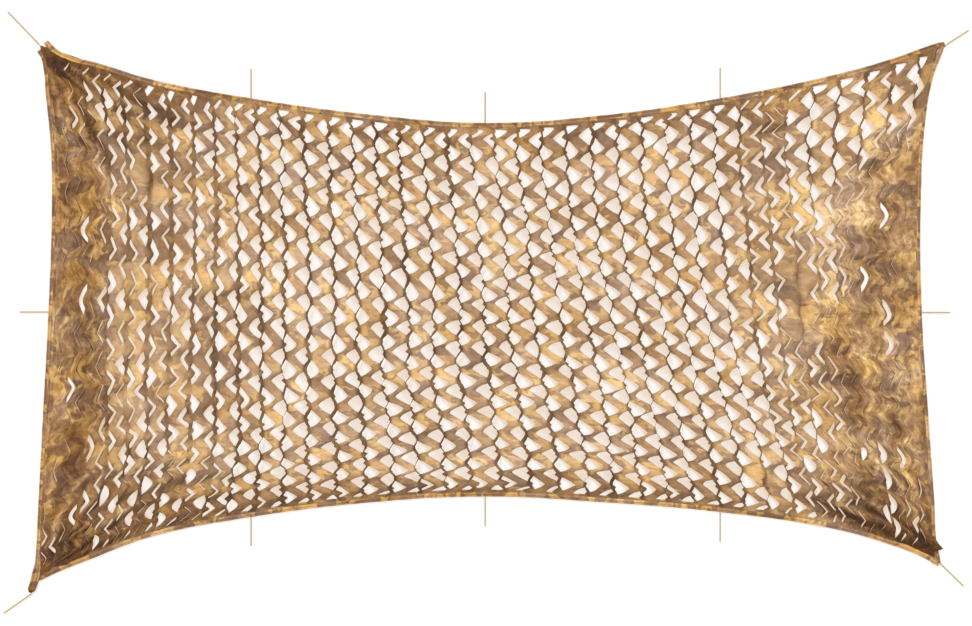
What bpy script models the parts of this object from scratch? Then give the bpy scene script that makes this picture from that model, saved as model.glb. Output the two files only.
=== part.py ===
"""Leaf-cut camouflage netting, 2 x 4 m, pulled wide by twelve rope ties and lying on a flat surface.

Metres, +Z up. The netting lies in the XY plane with its long side along X and its underside at z = 0.
The cloth is one sheet with columns of staggered slits. Pulled sideways, every slit opens into a
leaf-shaped gap between a wide zigzag band, which lies down, and a narrow band, which stands on its edge.
"""

import math

import bmesh
import bpy
from mathutils import Vector

# Cloth
CLOTH_THICKNESS = 0.002
MOST_CORNER = 1.3             # most that the thickness grows at a sharp fold
WELD = 0.00001
PERIODS = 38                  # one period holds a narrow band, a wide band and the slits beside them
ROWS = 17                     # height of the cloth in slit pitches
CLOSED_PERIOD = 0.089         # width of a period whose slits stay shut
OPEN_GAIN = 0.25              # share by which a fully open period is wider
NARROW_SHUT = 0.044           # width of the narrow band seen from above
NARROW_OPEN = 0.009
WIDE_SHUT = 0.044             # width of the wide band seen from above, measured along X
WIDE_OPEN = 0.036
LEAN = 0.067                  # how far the columns lean, as a share of the width
LEAN_SKEW = 2.2               # moves the strongest lean right of the middle
ROW_CROWDING = 0.14           # rows lie closer together towards the bottom
RIDGE_HEIGHT = 0.030          # rise of the bands where the netting is fully open
TIP_RISE = 0.8                # height of the wide band at a right-hand gap's tip, as a share of the ridge
RIM_LIFT = 0.0015             # the margin lies this high, inside the folded binding

# Slits, in rows
SLIT_HALF = 0.38
RIGHT_COLUMN_START = 0.75     # middle of the first gap on the right of a narrow band
LEFT_COLUMN_START = 1.25      # middle of the first gap on its left
GAPS_IN_COLUMN = 16
RIM_ROWS = 0.3                # flat margin along the long sides
STEP_ROWS = 0.2               # the cloth comes down to the surface over these rows
FADE_ROWS = 0.5               # and rises to its full height over these
LEAST_OPEN = 0.05
MOST_OPEN = 1.2
FIRST_CUT = 9                 # narrow bands from here to LAST_CUT have gaps on their right
LAST_CUT = 28
FIRST_BOTH = 17               # and from here to LAST_BOTH on their left too
LAST_BOTH = 21

# Binding, a strip folded over the rim
BINDING_WALL = 0.0012
BINDING_SLOT = 0.0026
CLOTH_INSET = 0.006           # from the binding's outer edge in to the edge of the cloth
BINDING_STEP = 0.18
SHARE_STEP = 0.002            # how far along the rim its direction is read

# Ties
TIE_RADIUS = 0.003
TIE_HEIGHT = 0.0031
TIE_STEP = 0.018
TIE_SIDES = 2                 # bevel resolution: eight sides round

# Edge of the cloth from corner to corner. Columns: x, y.
TOP_RIM = (
    (-1.964, 1.198),
    (-1.704, 1.120),
    (-1.496, 1.056),
    (-1.047, 0.970),
    (-0.528, 0.899),
    (-0.008, 0.861),
    (0.511, 0.894),
    (1.035, 0.970),
    (1.523, 1.070),
    (1.796, 1.144),
    (2.005, 1.209),
)
BOTTOM_RIM = (
    (-1.988, -1.148),
    (-1.753, -1.060),
    (-1.496, -0.965),
    (-1.047, -0.876),
    (-0.528, -0.812),
    (-0.008, -0.785),
    (0.511, -0.810),
    (1.035, -0.854),
    (1.523, -0.925),
    (1.768, -0.991),
    (1.987, -1.067),
)
LEFT_RIM = (
    (-1.988, -1.148),
    (-1.986, -0.851),
    (-1.963, -0.407),
    (-1.940, 0.028),
    (-1.925, 0.481),
    (-1.929, 0.747),
    (-1.952, 0.995),
    (-1.964, 1.198),
)
RIGHT_RIM = (
    (1.987, -1.067),
    (1.979, -0.807),
    (1.952, -0.416),
    (1.924, 0.028),
    (1.919, 0.503),
    (1.944, 0.916),
    (1.974, 1.070),
    (2.005, 1.209),
)

# Soft folds where the slits stay shut. Columns: period, height of the fold above the surface.
FOLDS_LEFT = (
    (0.38, RIM_LIFT),
    (1.2, 0.014),
    (2.4, 0.000),
    (3.7, 0.000),
    (4.9, 0.017),
    (5.8, 0.002),
    (7.1, 0.021),
    (8.1, 0.003),
)
FOLDS_RIGHT = (
    (30.8, 0.003),
    (31.9, 0.021),
    (33.0, 0.002),
    (34.1, 0.018),
    (35.2, 0.000),
    (36.4, 0.015),
    (37.62, RIM_LIFT),
)
FOLD_VARIES = 0.2             # up to twice this share is taken off a fold's height
FOLD_ROWS = (0.0, RIM_ROWS, 1.6, 3.6, 5.6, 7.6, 9.6, 11.6, 13.6, 15.4, ROWS - RIM_ROWS, ROWS)

# Binding strips: the share of the rim that each covers, and where its two ends poke out past the corners.
# Columns: name, rim, outward side, half width, first share, last share, start, end.
BINDINGS = (
    ("binding_top", TOP_RIM, 1, 0.014, 0.006, 0.995, (-1.979, 1.200), (2.019, 1.208)),
    ("binding_bottom", BOTTOM_RIM, -1, 0.014, 0.012, 0.995, (-2.013, -1.212), (2.000, -1.066)),
    ("binding_left", LEFT_RIM, 1, 0.011, 0.040, 0.970, (-1.992, -1.082), (-1.982, 1.170)),
    ("binding_right", RIGHT_RIM, -1, 0.011, 0.050, 0.970, (2.014, -1.020), (1.994, 1.176)),
)

# Straight free ends of the ties. Columns: name, start x, start y, end x, end y.
TIES = (
    ("tie_corner_top_left", -1.985, 1.213, -2.126, 1.360),
    ("tie_corner_top_right", 2.032, 1.210, 2.138, 1.278),
    ("tie_corner_bottom_left", -2.0205, -1.222, -2.144, -1.308),
    ("tie_corner_bottom_right", 2.012, -1.088, 2.116, -1.189),
    ("tie_top_left", -1.047, 0.978, -1.047, 1.107),
    ("tie_top_middle", -0.008, 0.8688, -0.008, 1.005),
    ("tie_top_right", 1.035, 0.978, 1.035, 1.111),
    ("tie_bottom_left", -1.047, -0.884, -1.047, -1.011),
    ("tie_bottom_middle", -0.008, -0.7928, -0.008, -0.922),
    ("tie_bottom_right", 1.035, -0.862, 1.035, -0.993),
    ("tie_left", -1.9474, 0.028, -2.073, 0.028),
    ("tie_right", 1.9314, 0.026, 2.056, 0.026),
)


def material(name, colour, roughness):
    made = bpy.data.materials.new(name)
    made.use_nodes = True
    shader = made.node_tree.nodes["Principled BSDF"]
    shader.inputs["Base Color"].default_value = (*colour, 1.0)
    shader.inputs["Roughness"].default_value = roughness
    shader.inputs["Metallic"].default_value = 0.0
    return made


def smooth_through(rows, share):
    """The point at this share of the length of a smooth curve through the rows."""
    points = [Vector((x, y, 0.0)) for x, y in rows]
    lengths = [(after - before).length for before, after in zip(points, points[1:])]
    left = share * sum(lengths)
    span = 0
    while span < len(lengths) - 1 and left > lengths[span]:
        left -= lengths[span]
        span += 1
    part = left / lengths[span]
    start, end = points[span], points[span + 1]
    before = points[span - 1] if span > 0 else 2 * start - end
    after = points[span + 2] if span + 2 < len(points) else 2 * end - start
    slope_in = (end - before).normalized() * lengths[span]
    slope_out = (after - start).normalized() * lengths[span]
    blend = part * part * (3 - 2 * part)
    return (
        start * (1 - blend)
        + end * blend
        + slope_in * (part * (1 - part) ** 2)
        - slope_out * (part * part * (1 - part))
    )


def sheet_point(across, up):
    """A place on the cloth, from 0 to 1 each way, stretched between its four curved rims."""
    bottom, top = smooth_through(BOTTOM_RIM, across), smooth_through(TOP_RIM, across)
    left, right = smooth_through(LEFT_RIM, up), smooth_through(RIGHT_RIM, up)
    flat_low = Vector((*BOTTOM_RIM[0], 0)).lerp(Vector((*BOTTOM_RIM[-1], 0)), across)
    flat_high = Vector((*TOP_RIM[0], 0)).lerp(Vector((*TOP_RIM[-1], 0)), across)
    return bottom.lerp(top, up) + left.lerp(right, across) - flat_low.lerp(flat_high, up)


def column_place(period):
    """Share of the width where this period starts: periods are widest in the middle."""
    side = 2 * period / PERIODS - 1
    bulge = (side * (5 - 2 * side * side) * math.sqrt(1 - side * side) + 3 * math.asin(side)) / 8
    return 0.5 + 0.5 * (side + OPEN_GAIN * bulge) / (1 + OPEN_GAIN * 3 * math.pi / 16)


def line_point(period, row):
    """The place of a column line at a row."""
    share = row / ROWS
    up = share - ROW_CROWDING * share * (1 - share)
    across = column_place(period)
    across += LEAN * math.sin(math.pi * across**LEAN_SKEW) * (0.5 - up)
    return sheet_point(across, up)


def opened(period, row):
    """Direction, width and openness of the period that starts here."""
    step = line_point(period + 1, row) - line_point(period, row)
    share = (step.length / CLOSED_PERIOD - 1) / OPEN_GAIN
    return step.normalized(), step.length, min(max(share, LEAST_OPEN), MOST_OPEN)


def rows_inside_rim(row):
    return max(min(row, ROWS - row) - RIM_ROWS, 0)


def ridge_height(openness, row):
    fade = min(rows_inside_rim(row) / FADE_ROWS, 1)
    return RIM_LIFT + fade * (RIDGE_HEIGHT * min(openness, 1) - RIM_LIFT)


def floor_height(row):
    return 0.0 if rows_inside_rim(row) > STEP_ROWS else RIM_LIFT


def slit_rows(first, tips):
    """Rows of the points along a slit column, each with a mark on the tip of its gap."""
    rows = [(0.0, False), (RIM_ROWS, False)]
    for gap in range(GAPS_IN_COLUMN):
        middle = first + gap
        rows.append((middle - SLIT_HALF, False))
        if tips:
            rows.append((middle, True))
        rows.append((middle + SLIT_HALF, False))
    return rows + [(ROWS - RIM_ROWS, False), (ROWS, False)]


def uncut_rows():
    return [(row, False) for row in FOLD_ROWS]


def reach_from_line(width, openness, tip):
    """How far from a column line the cloth's lip lies: at the narrow band, or out at a gap's tip."""
    narrow = NARROW_SHUT + (NARROW_OPEN - NARROW_SHUT) * openness
    wide = WIDE_SHUT + (WIDE_OPEN - WIDE_SHUT) * openness
    return narrow / 2 + (width - narrow - wide if tip else 0)


def right_lip(period, tips):
    """The slit column on the right of a narrow band, where the cloth comes down to the surface."""
    points = []
    for row, tip in slit_rows(RIGHT_COLUMN_START, tips):
        along, width, openness = opened(period, row)
        height = TIP_RISE * ridge_height(openness, row) if tip else floor_height(row)
        lip = along * reach_from_line(width, openness, tip)
        points.append((row, line_point(period, row) + lip + Vector((0, 0, height))))
    return points


def left_lip(period, tips):
    """The column on the left of a narrow band, where the cloth stands highest."""
    cut = FIRST_BOTH <= period <= LAST_BOTH
    points = []
    for row, tip in slit_rows(LEFT_COLUMN_START, tips) if cut else uncut_rows():
        along, width, openness = opened(period - 1, row)
        height = floor_height(row) if tip else ridge_height(openness, row)
        lip = along * reach_from_line(width, openness, tip)
        points.append((row, line_point(period, row) - lip + Vector((0, 0, height))))
    return points


def fold_line(period, height):
    """A line along a fold, whose height varies along the cloth except where it lies flat."""
    points = []
    for row in FOLD_ROWS:
        uneven = 1 - FOLD_VARIES * (1 + math.sin(row + 2 * period))
        flat = row <= RIM_ROWS or row >= ROWS - RIM_ROWS or height == RIM_LIFT
        lift = RIM_LIFT if flat else height * uneven
        points.append((row, line_point(period, row) + Vector((0, 0, lift))))
    return points


def fill_between(mesh, left, right):
    """Fills the strip between two lines of points with triangles that face up."""
    left_verts = [mesh.verts.new(place) for row, place in left]
    right_verts = [mesh.verts.new(place) for row, place in right]
    i = j = 0
    while i + 1 < len(left) or j + 1 < len(right):
        next_left = left[i + 1][0] if i + 1 < len(left) else math.inf
        next_right = right[j + 1][0] if j + 1 < len(right) else math.inf
        if next_left < next_right:
            mesh.faces.new((left_verts[i], right_verts[j], left_verts[i + 1]))
            i += 1
        else:
            mesh.faces.new((left_verts[i], right_verts[j], right_verts[j + 1]))
            j += 1


def thicken(sheet, thickness):
    """Turns the open sheet into a solid. Points at rest stay in their flat planes on both faces."""
    sheet.normal_update()
    lower, upper = {}, {}
    for vert in list(sheet.verts):
        resting = vert.co.z <= RIM_LIFT + WELD
        steepness = 1 / max(vert.normal.z, 0.5)
        scale = steepness if resting else min(vert.calc_shell_factor(), MOST_CORNER)
        shift = vert.normal * (scale * thickness / 2)
        if resting:
            shift.z = thickness / 2
        middle = vert.co + Vector((0, 0, thickness / 2))
        upper[vert] = sheet.verts.new(middle + shift)
        lower[vert] = sheet.verts.new(middle - shift)
    faces = list(sheet.faces)
    loops = [edge.link_loops[0] for edge in sheet.edges if edge.is_boundary]
    walls = [(loop.vert, loop.link_loop_next.vert) for loop in loops]
    for face in faces:
        sheet.faces.new([upper[vert] for vert in face.verts])
        sheet.faces.new([lower[vert] for vert in reversed(face.verts)])
    for start, end in walls:
        sheet.faces.new((upper[end], upper[start], lower[start], lower[end]))
    bmesh.ops.delete(sheet, geom=list(upper), context="VERTS")


def finish(name, mesh, finish_material):
    """Makes the object of a bmesh."""
    bmesh.ops.triangulate(mesh, faces=mesh.faces)
    data = bpy.data.meshes.new(name)
    mesh.to_mesh(data)
    mesh.free()
    data.materials.append(finish_material)
    made = bpy.data.objects.new(name, data)
    bpy.context.scene.collection.objects.link(made)
    return made


def fill_across(mesh, lines):
    for left, right in zip(lines, lines[1:]):
        fill_between(mesh, left, right)


def make_net(finish_material):
    """Folds, then a narrow band and a wide band for each period with gaps, then folds again."""
    sheet = bmesh.new()
    left_edge, right_edge = fold_line(0.0, RIM_LIFT), fold_line(float(PERIODS), RIM_LIFT)
    folds = [fold_line(period, height) for period, height in FOLDS_LEFT]
    fill_across(sheet, [left_edge, *folds, left_lip(FIRST_CUT, False)])
    for period in range(FIRST_CUT, LAST_CUT + 1):
        fill_between(sheet, left_lip(period, False), right_lip(period, False))
        fill_between(sheet, right_lip(period, True), left_lip(period + 1, True))
    folds = [fold_line(period, height) for period, height in FOLDS_RIGHT]
    fill_across(sheet, [left_lip(LAST_CUT + 1, False), *folds, right_edge])
    bmesh.ops.remove_doubles(sheet, verts=sheet.verts, dist=WELD)
    thicken(sheet, CLOTH_THICKNESS)
    return finish("net", sheet, finish_material)


def binding_centre(rim, outward, half_width, share):
    """Centre of the strip beside the rim, and its outward direction."""
    ahead = smooth_through(rim, min(share + SHARE_STEP, 1))
    behind = smooth_through(rim, max(share - SHARE_STEP, 0))
    along = (ahead - behind).normalized()
    out = Vector((-along.y, along.x, 0)) * outward
    return smooth_through(rim, share) - out * (half_width - CLOTH_INSET)


def make_binding(name, rim, outward, half_width, first, last, start, end, finish_material):
    length = sum((Vector(b) - Vector(a)).length for a, b in zip(rim, rim[1:]))
    steps = math.ceil(length * (last - first) / BINDING_STEP)
    shares = [first + (last - first) * step / steps for step in range(steps + 1)]
    path = [binding_centre(rim, outward, half_width, share) for share in shares]
    path = [Vector((*start, 0))] + path + [Vector((*end, 0))]
    top = 2 * BINDING_WALL + BINDING_SLOT
    folded = (
        (half_width, 0),
        (half_width, top),
        (-half_width, top),
        (-half_width, top - BINDING_WALL),
        (half_width - BINDING_WALL, top - BINDING_WALL),
        (half_width - BINDING_WALL, BINDING_WALL),
        (-half_width, BINDING_WALL),
        (-half_width, 0),
    )
    strip = bmesh.new()
    rings = []
    for index, centre in enumerate(path):
        before, after = path[max(index - 1, 0)], path[min(index + 1, len(path) - 1)]
        along = ((after - centre).normalized() + (centre - before).normalized()).normalized()
        turn = (after - centre).normalized().dot(along) or 1.0
        out = Vector((-along.y, along.x, 0)) * (outward / turn)
        ring = [strip.verts.new(centre + out * side + Vector((0, 0, z))) for side, z in folded]
        rings.append(ring)
    for ring, following in zip(rings, rings[1:]):
        for corner in range(len(folded)):
            other = (corner + 1) % len(folded)
            strip.faces.new((ring[corner], ring[other], following[other], following[corner]))
    strip.faces.new(rings[0])
    strip.faces.new(rings[-1])
    bmesh.ops.recalc_face_normals(strip, faces=strip.faces)
    return finish(name, strip, finish_material)


def make_tie(name, start, end, finish_material):
    start, end = Vector((*start, TIE_HEIGHT)), Vector((*end, TIE_HEIGHT))
    steps = max(round((end - start).length / TIE_STEP), 4)
    curve = bpy.data.curves.new(name, "CURVE")
    curve.dimensions = "3D"
    curve.bevel_depth = TIE_RADIUS
    curve.bevel_resolution = TIE_SIDES
    curve.use_fill_caps = True
    line = curve.splines.new("POLY")
    line.points.add(steps)
    for index, point in enumerate(line.points):
        point.co = (*start.lerp(end, index / steps), 1.0)
    curve.materials.append(finish_material)
    made = bpy.data.objects.new(name, curve)
    bpy.context.scene.collection.objects.link(made)
    return made


def main():
    for old in list(bpy.data.objects):
        bpy.data.objects.remove(old)
    cloth = material("printed_cloth", (0.42, 0.28, 0.14), 0.85)
    edging = material("printed_edging", (0.36, 0.25, 0.12), 0.85)
    rope = material("tan_rope", (0.62, 0.46, 0.27), 0.9)
    make_net(cloth)
    for row in BINDINGS:
        make_binding(*row, edging)
    for name, start_x, start_y, end_x, end_y in TIES:
        make_tie(name, (start_x, start_y), (end_x, end_y), rope)


main()
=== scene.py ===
import math
from types import SimpleNamespace

import bmesh
import bpy
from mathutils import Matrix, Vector


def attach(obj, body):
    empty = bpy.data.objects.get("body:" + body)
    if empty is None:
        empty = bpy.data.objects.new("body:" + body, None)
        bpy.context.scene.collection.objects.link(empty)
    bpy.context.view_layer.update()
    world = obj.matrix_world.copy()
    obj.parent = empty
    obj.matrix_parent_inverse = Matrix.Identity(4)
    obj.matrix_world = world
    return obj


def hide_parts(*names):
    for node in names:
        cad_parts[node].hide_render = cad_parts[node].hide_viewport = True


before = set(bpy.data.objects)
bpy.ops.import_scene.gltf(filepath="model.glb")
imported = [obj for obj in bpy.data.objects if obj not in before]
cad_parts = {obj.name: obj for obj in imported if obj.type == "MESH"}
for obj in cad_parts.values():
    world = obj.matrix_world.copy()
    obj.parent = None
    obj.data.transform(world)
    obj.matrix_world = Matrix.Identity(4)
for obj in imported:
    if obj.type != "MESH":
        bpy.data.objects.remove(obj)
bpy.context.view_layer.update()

# The camera looks straight down on the middle of the netting.
camera = bpy.data.objects.new("camera", bpy.data.cameras.new("camera"))
bpy.context.scene.collection.objects.link(camera)
camera.data.lens = 75
camera.location = (-0.004, 0.0233, 8.99)
bpy.context.scene.camera = camera
print("camera placed")


# Short ways to write nodes: a wire is one output, and its sums add maths nodes.
def plug(tree, value, socket):
    if isinstance(value, wire):
        tree.links.new(value.socket, socket)
    else:
        socket.default_value = value


def addNode(tree, kind, settings=(), **inputs):
    node = tree.nodes.new(kind)
    for name, value in dict(settings).items():
        setattr(node, name, value)
    for name, value in inputs.items():
        plug(tree, value, node.inputs[name.replace("_", " ")])
    return node


def outputOf(tree, kind, settings=(), take=0, **inputs):  # the new node's output of this number or name
    return wire(tree, addNode(tree, kind, settings, **inputs).outputs[take])


class wire:
    def __init__(self, tree, socket):
        self.tree, self.socket = tree, socket

    def computed(self, node, *others):
        for value, socket in zip((self, *others), node.inputs):
            plug(self.tree, value, socket)
        return wire(self.tree, node.outputs[0])

    def maths(self, operation, *others):
        return self.computed(addNode(self.tree, "ShaderNodeMath", {"operation": operation}), *others)

    def vector(self, operation, *others):
        return self.computed(addNode(self.tree, "ShaderNodeVectorMath", {"operation": operation}), *others)

    def ramp(self, start, end, low=0.0, high=1.0):  # smooth step from start to end
        node = addNode(self.tree, "ShaderNodeMapRange", {"interpolation_type": "SMOOTHSTEP"})
        return self.computed(node, start, end, low, high)

    def scaled(self, amount):
        return self.computed(addNode(self.tree, "ShaderNodeVectorMath", {"operation": "SCALE"}, Scale=amount))

    def __add__(self, other):
        return self.maths("ADD", other)

    def __mul__(self, other):
        return self.maths("MULTIPLY", other)

    def __sub__(self, other):
        return self.maths("SUBTRACT", other)

    def __rsub__(self, other):
        return self.maths("MULTIPLY_ADD", -1.0, other)

    def __truediv__(self, other):
        return self.maths("DIVIDE", other)

    def __pow__(self, other):
        return self.maths("POWER", other)

    __radd__, __rmul__ = __add__, __mul__

    def floor(self):
        return self.maths("FLOOR")

    def part(self):
        return self.maths("FRACT")

    def sine(self):
        return self.maths("SINE")

    def exponent(self):
        return self.maths("EXPONENT")

    def size(self):
        return self.maths("ABSOLUTE")

    def over(self, other):
        return self.maths("GREATER_THAN", other)

    def under(self, other):
        return self.maths("LESS_THAN", other)

    def least(self, other):
        return self.maths("MINIMUM", other)

    def most(self, other):
        return self.maths("MAXIMUM", other)

    def held(self, low=0.0, high=1.0):
        return self.most(low).least(high)


def blend(low, high, share):
    return low + (high - low) * share


def blendPoints(low, high, share):
    return low.scaled(1.0 - share).vector("ADD", high.scaled(share))


def joined(tree, x, y, z=0.0):
    return outputOf(tree, "ShaderNodeCombineXYZ", X=x, Y=y, Z=z)


def parted(tree, vector):
    return [wire(tree, socket) for socket in addNode(tree, "ShaderNodeSeparateXYZ", Vector=vector).outputs]


def wobble(tree, x, y, seed, detail=1.0):  # smooth noise from about -1 to 1
    place = joined(tree, x, y, seed)
    return (outputOf(tree, "ShaderNodeTexNoise", Vector=place, Scale=1.0, Detail=detail) - 0.5) * 3.0


def chance(tree, x, y, seed):  # one fixed number from 0 to 1 for each pair of whole numbers
    place = joined(tree, x + 0.5, y + 0.5, seed)
    return outputOf(tree, "ShaderNodeTexWhiteNoise", {"noise_dimensions": "3D"}, "Value", Vector=place)


def position(tree):
    return outputOf(tree, "GeometryNodeInputPosition")


def store(tree, geometry, name, value, kind="FLOAT", domain="POINT"):
    return outputOf(
        tree, "GeometryNodeStoreNamedAttribute", {"data_type": kind, "domain": domain},
        Geometry=geometry, Name=name, Value=value,
    )


def recall(tree, name):
    return outputOf(tree, "GeometryNodeInputNamedAttribute", {"data_type": "FLOAT"}, Name=name)


def startTree(name, sizes):  # an input for each size, and for an object where the value is None
    tree = bpy.data.node_groups.new(name, "GeometryNodeTree")
    face = tree.interface
    face.new_socket("Geometry", in_out="INPUT", socket_type="NodeSocketGeometry")
    face.new_socket("Geometry", in_out="OUTPUT", socket_type="NodeSocketGeometry")
    for label, value in sizes.items():
        kind = {int: "NodeSocketInt", float: "NodeSocketFloat"}.get(type(value), "NodeSocketObject")
        face.new_socket(label, in_out="INPUT", socket_type=kind)
    face.new_socket("Material", in_out="INPUT", socket_type="NodeSocketMaterial")
    start = tree.nodes.new("NodeGroupInput")
    return tree, {socket.name: wire(tree, socket) for socket in start.outputs if socket.name}


def endTree(tree, geometry, finish):
    real = outputOf(tree, "GeometryNodeRealizeInstances", Geometry=geometry)
    painted = addNode(tree, "GeometryNodeSetMaterial", Geometry=real, Material=finish)
    tree.links.new(painted.outputs[0], tree.nodes.new("NodeGroupOutput").inputs[0])
    return tree


def runTree(tree, carrier, values, name):  # the tree's result as a plain mesh object
    modifier = carrier.modifiers.new(tree.name, "NODES")
    modifier.node_group = tree
    for item in tree.interface.items_tree:
        if item.in_out == "INPUT" and item.name in values:
            modifier[item.identifier] = values[item.name]
    carrier.update_tag()
    bpy.context.view_layer.update()
    graph = bpy.context.evaluated_depsgraph_get()
    source = carrier.evaluated_get(graph)
    mesh = bpy.data.meshes.new_from_object(source, preserve_all_data_layers=True, depsgraph=graph)
    carrier.modifiers.remove(modifier)
    mesh.name = name
    made = bpy.data.objects.new(name, mesh)
    bpy.context.scene.collection.objects.link(made)
    return made


def curveThrough(name, lines, smooth=True):  # one spline for each line of points
    data = bpy.data.curves.new(name, "CURVE")
    data.dimensions = "3D"
    data.resolution_u = 24
    for points in lines:
        spline = data.splines.new("BEZIER")
        spline.bezier_points.add(len(points) - 1)
        for point, place in zip(spline.bezier_points, points):
            point.co = (*place, 0.0)[:3]
            point.handle_left_type = point.handle_right_type = "AUTO" if smooth else "VECTOR"
    made = bpy.data.objects.new(name, data)
    bpy.context.scene.collection.objects.link(made)
    return made


# Materials. A colour is given as it looks under the studio light.
studioLight = 1.85  # how bright a flat white surface is


def colour(red, green, blue):
    return tuple((((c / 255 + 0.055) / 1.055) ** 2.4) / studioLight for c in (red, green, blue)) + (1.0,)


def newMaterial(name, roughness, sheen=0.0):
    made = bpy.data.materials.new(name)
    made.use_nodes = True
    shader = made.node_tree.nodes["Principled BSDF"]
    shader.inputs["Roughness"].default_value = roughness
    shader.inputs["Sheen Weight"].default_value = sheen
    shader.inputs["Sheen Roughness"].default_value = 0.5
    shader.inputs["Specular IOR Level"].default_value = 0.15
    return made, made.node_tree, shader


def mixColour(tree, low, high, share, kind="MIX"):
    node = addNode(tree, "ShaderNodeMix", {"data_type": "RGBA", "blend_type": kind})
    for value, index in ((share, 0), (low, 6), (high, 7)):
        plug(tree, value, node.inputs[index])
    return wire(tree, node.outputs[2])


def cloud(tree, place, scale, detail=2.0, roughness=0.5, take=0):
    settings = {"noise_dimensions": "3D"}
    sizes = {"Scale": scale, "Detail": detail, "Roughness": roughness}
    return outputOf(tree, "ShaderNodeTexNoise", settings, take, Vector=place, **sizes)


def attribute(tree, name):
    return outputOf(tree, "ShaderNodeAttribute", {"attribute_name": name}, "Fac")


def addBump(tree, shader, height, strength, distance):
    bump = addNode(tree, "ShaderNodeBump", Height=height, Strength=strength, Distance=distance)
    tree.links.new(bump.outputs[0], shader.inputs["Normal"])


camo = {
    "tan": colour(192, 153, 106),
    "brown": colour(166, 131, 98),
    "gold": colour(206, 168, 110),
    "dark": colour(132, 103, 82),
    "umber": colour(149, 117, 88),
    "middle": colour(180, 144, 101),
    # painted light and shade along the slits' lips: a highlight, a shade, and the dark shade of a pulled lip
    "lip lit": colour(231, 206, 180),
    "lip shaded": colour(92, 66, 48),
    "pulled lip shade": colour(92, 64, 46),
}
blotches = (  # colour, seed, level above which it is printed, fineness
    ("brown", 1.7, 0.49, 0.5),
    ("gold", 5.3, 0.55, 0.65),
    ("umber", 3.9, 0.60, 1.3),
    ("dark", 9.1, 0.59, 0.9),
    ("gold", 12.7, 0.65, 2.1),
    ("umber", 15.1, 0.65, 2.4),
)
printed = {
    "ragged": 0.62,  # how far the blotches' edges wander, as a share of their size
    "soft edge": 0.018,
    "threads": 500.0,  # in a metre
    "thread depth": 0.15,
    "crease depth": 7.0,  # on the same scale as a thread's
    "bump": 0.6,
    "depth": 0.0011,
}


def camoPaint(tree, place, blotch, bold):  # printed blotches with ragged, overlapping edges
    paint = camo["tan"]
    for name, seed, level, size in blotches:
        drift = cloud(tree, place, blotch * 2.3, take=1).vector("SUBTRACT", (0.5, 0.5, 0.5))
        moved = place.vector("ADD", drift.scaled(printed["ragged"] / blotch))
        moved = moved.vector("ADD", (seed, seed * 0.7, seed))
        share = cloud(tree, moved, blotch * size, 1.0, 0.4)
        edge = printed["soft edge"]
        paint = mixColour(tree, paint, camo[name], share.ramp(level - bold - edge, level - bold + edge))
    return paint


def litAndShadedLips(tree, place, paint):  # painted light and shade along the slits: a painted highlight on a slit's upper lip, painted shade on its lower one, and dark painted shade on a pulled lip
    distance = attribute(tree, "lip") + cloud(tree, place, 160.0) * 0.004
    slack = attribute(tree, "slack")
    patchy = cloud(tree, place, 21.0)
    upper = attribute(tree, "over").ramp(0.42, 0.58)
    under = attribute(tree, "under") * 0.75 + 0.25
    edge = distance.ramp(0.0062, 0.0030) * slack.ramp(1.0, 0.9, 0.4, 1.0)

    shaded = distance.ramp(0.015, 0.003) * ((1.0 - upper) * slack.ramp(0.05, 0.4))
    shaded = shaded * patchy.ramp(0.3, 0.6) * slack.ramp(1.0, 0.9, 0.3, 0.6)
    lit = edge * slack.ramp(0.03, 0.25) * upper * patchy.ramp(0.42, 0.54) * 0.85
    # pulled: dark painted shade along the lips of pulled slits
    pulled = edge * (1.0 - upper * 0.6) * slack.ramp(0.4, 0.08) * patchy.ramp(0.36, 0.5) * under * 0.52
    for name, share in (("lip shaded", shaded), ("lip lit", lit), ("pulled lip shade", pulled)):
        paint = mixColour(tree, paint, camo[name], share)
    return paint


def wearAndPaintedShade(tree, place):  # rubbed cloth with broad faded and darker patches, painted light and shade of the rumpled cloth where it is slack, and the painted shade stored on the mesh
    wearAndShade = cloud(tree, place, 48.0, 4.0, 0.6).ramp(0.3, 0.7, 0.86, 1.12)
    wearAndShade = wearAndShade * cloud(tree, place, 9.0).ramp(0.3, 0.7, 0.92, 1.06)
    stretched = place.vector("MULTIPLY", (1.3, 0.8, 1.0))
    # painted light and shade: light and dark flecks on the rumpled, slack cloth
    rumpleLightAndShade = cloud(tree, stretched, 34.0, 3.0, 0.62).ramp(0.36, 0.64, 0.79, 1.19)
    wearAndShade = wearAndShade * blend(1.0, rumpleLightAndShade, attribute(tree, "slack").ramp(0.1, 0.6))
    wearAndShade = wearAndShade * cloud(tree, place, 3.2).ramp(0.4, 0.6, 0.83, 1.15)
    return wearAndShade * attribute(tree, "shade")


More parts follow.
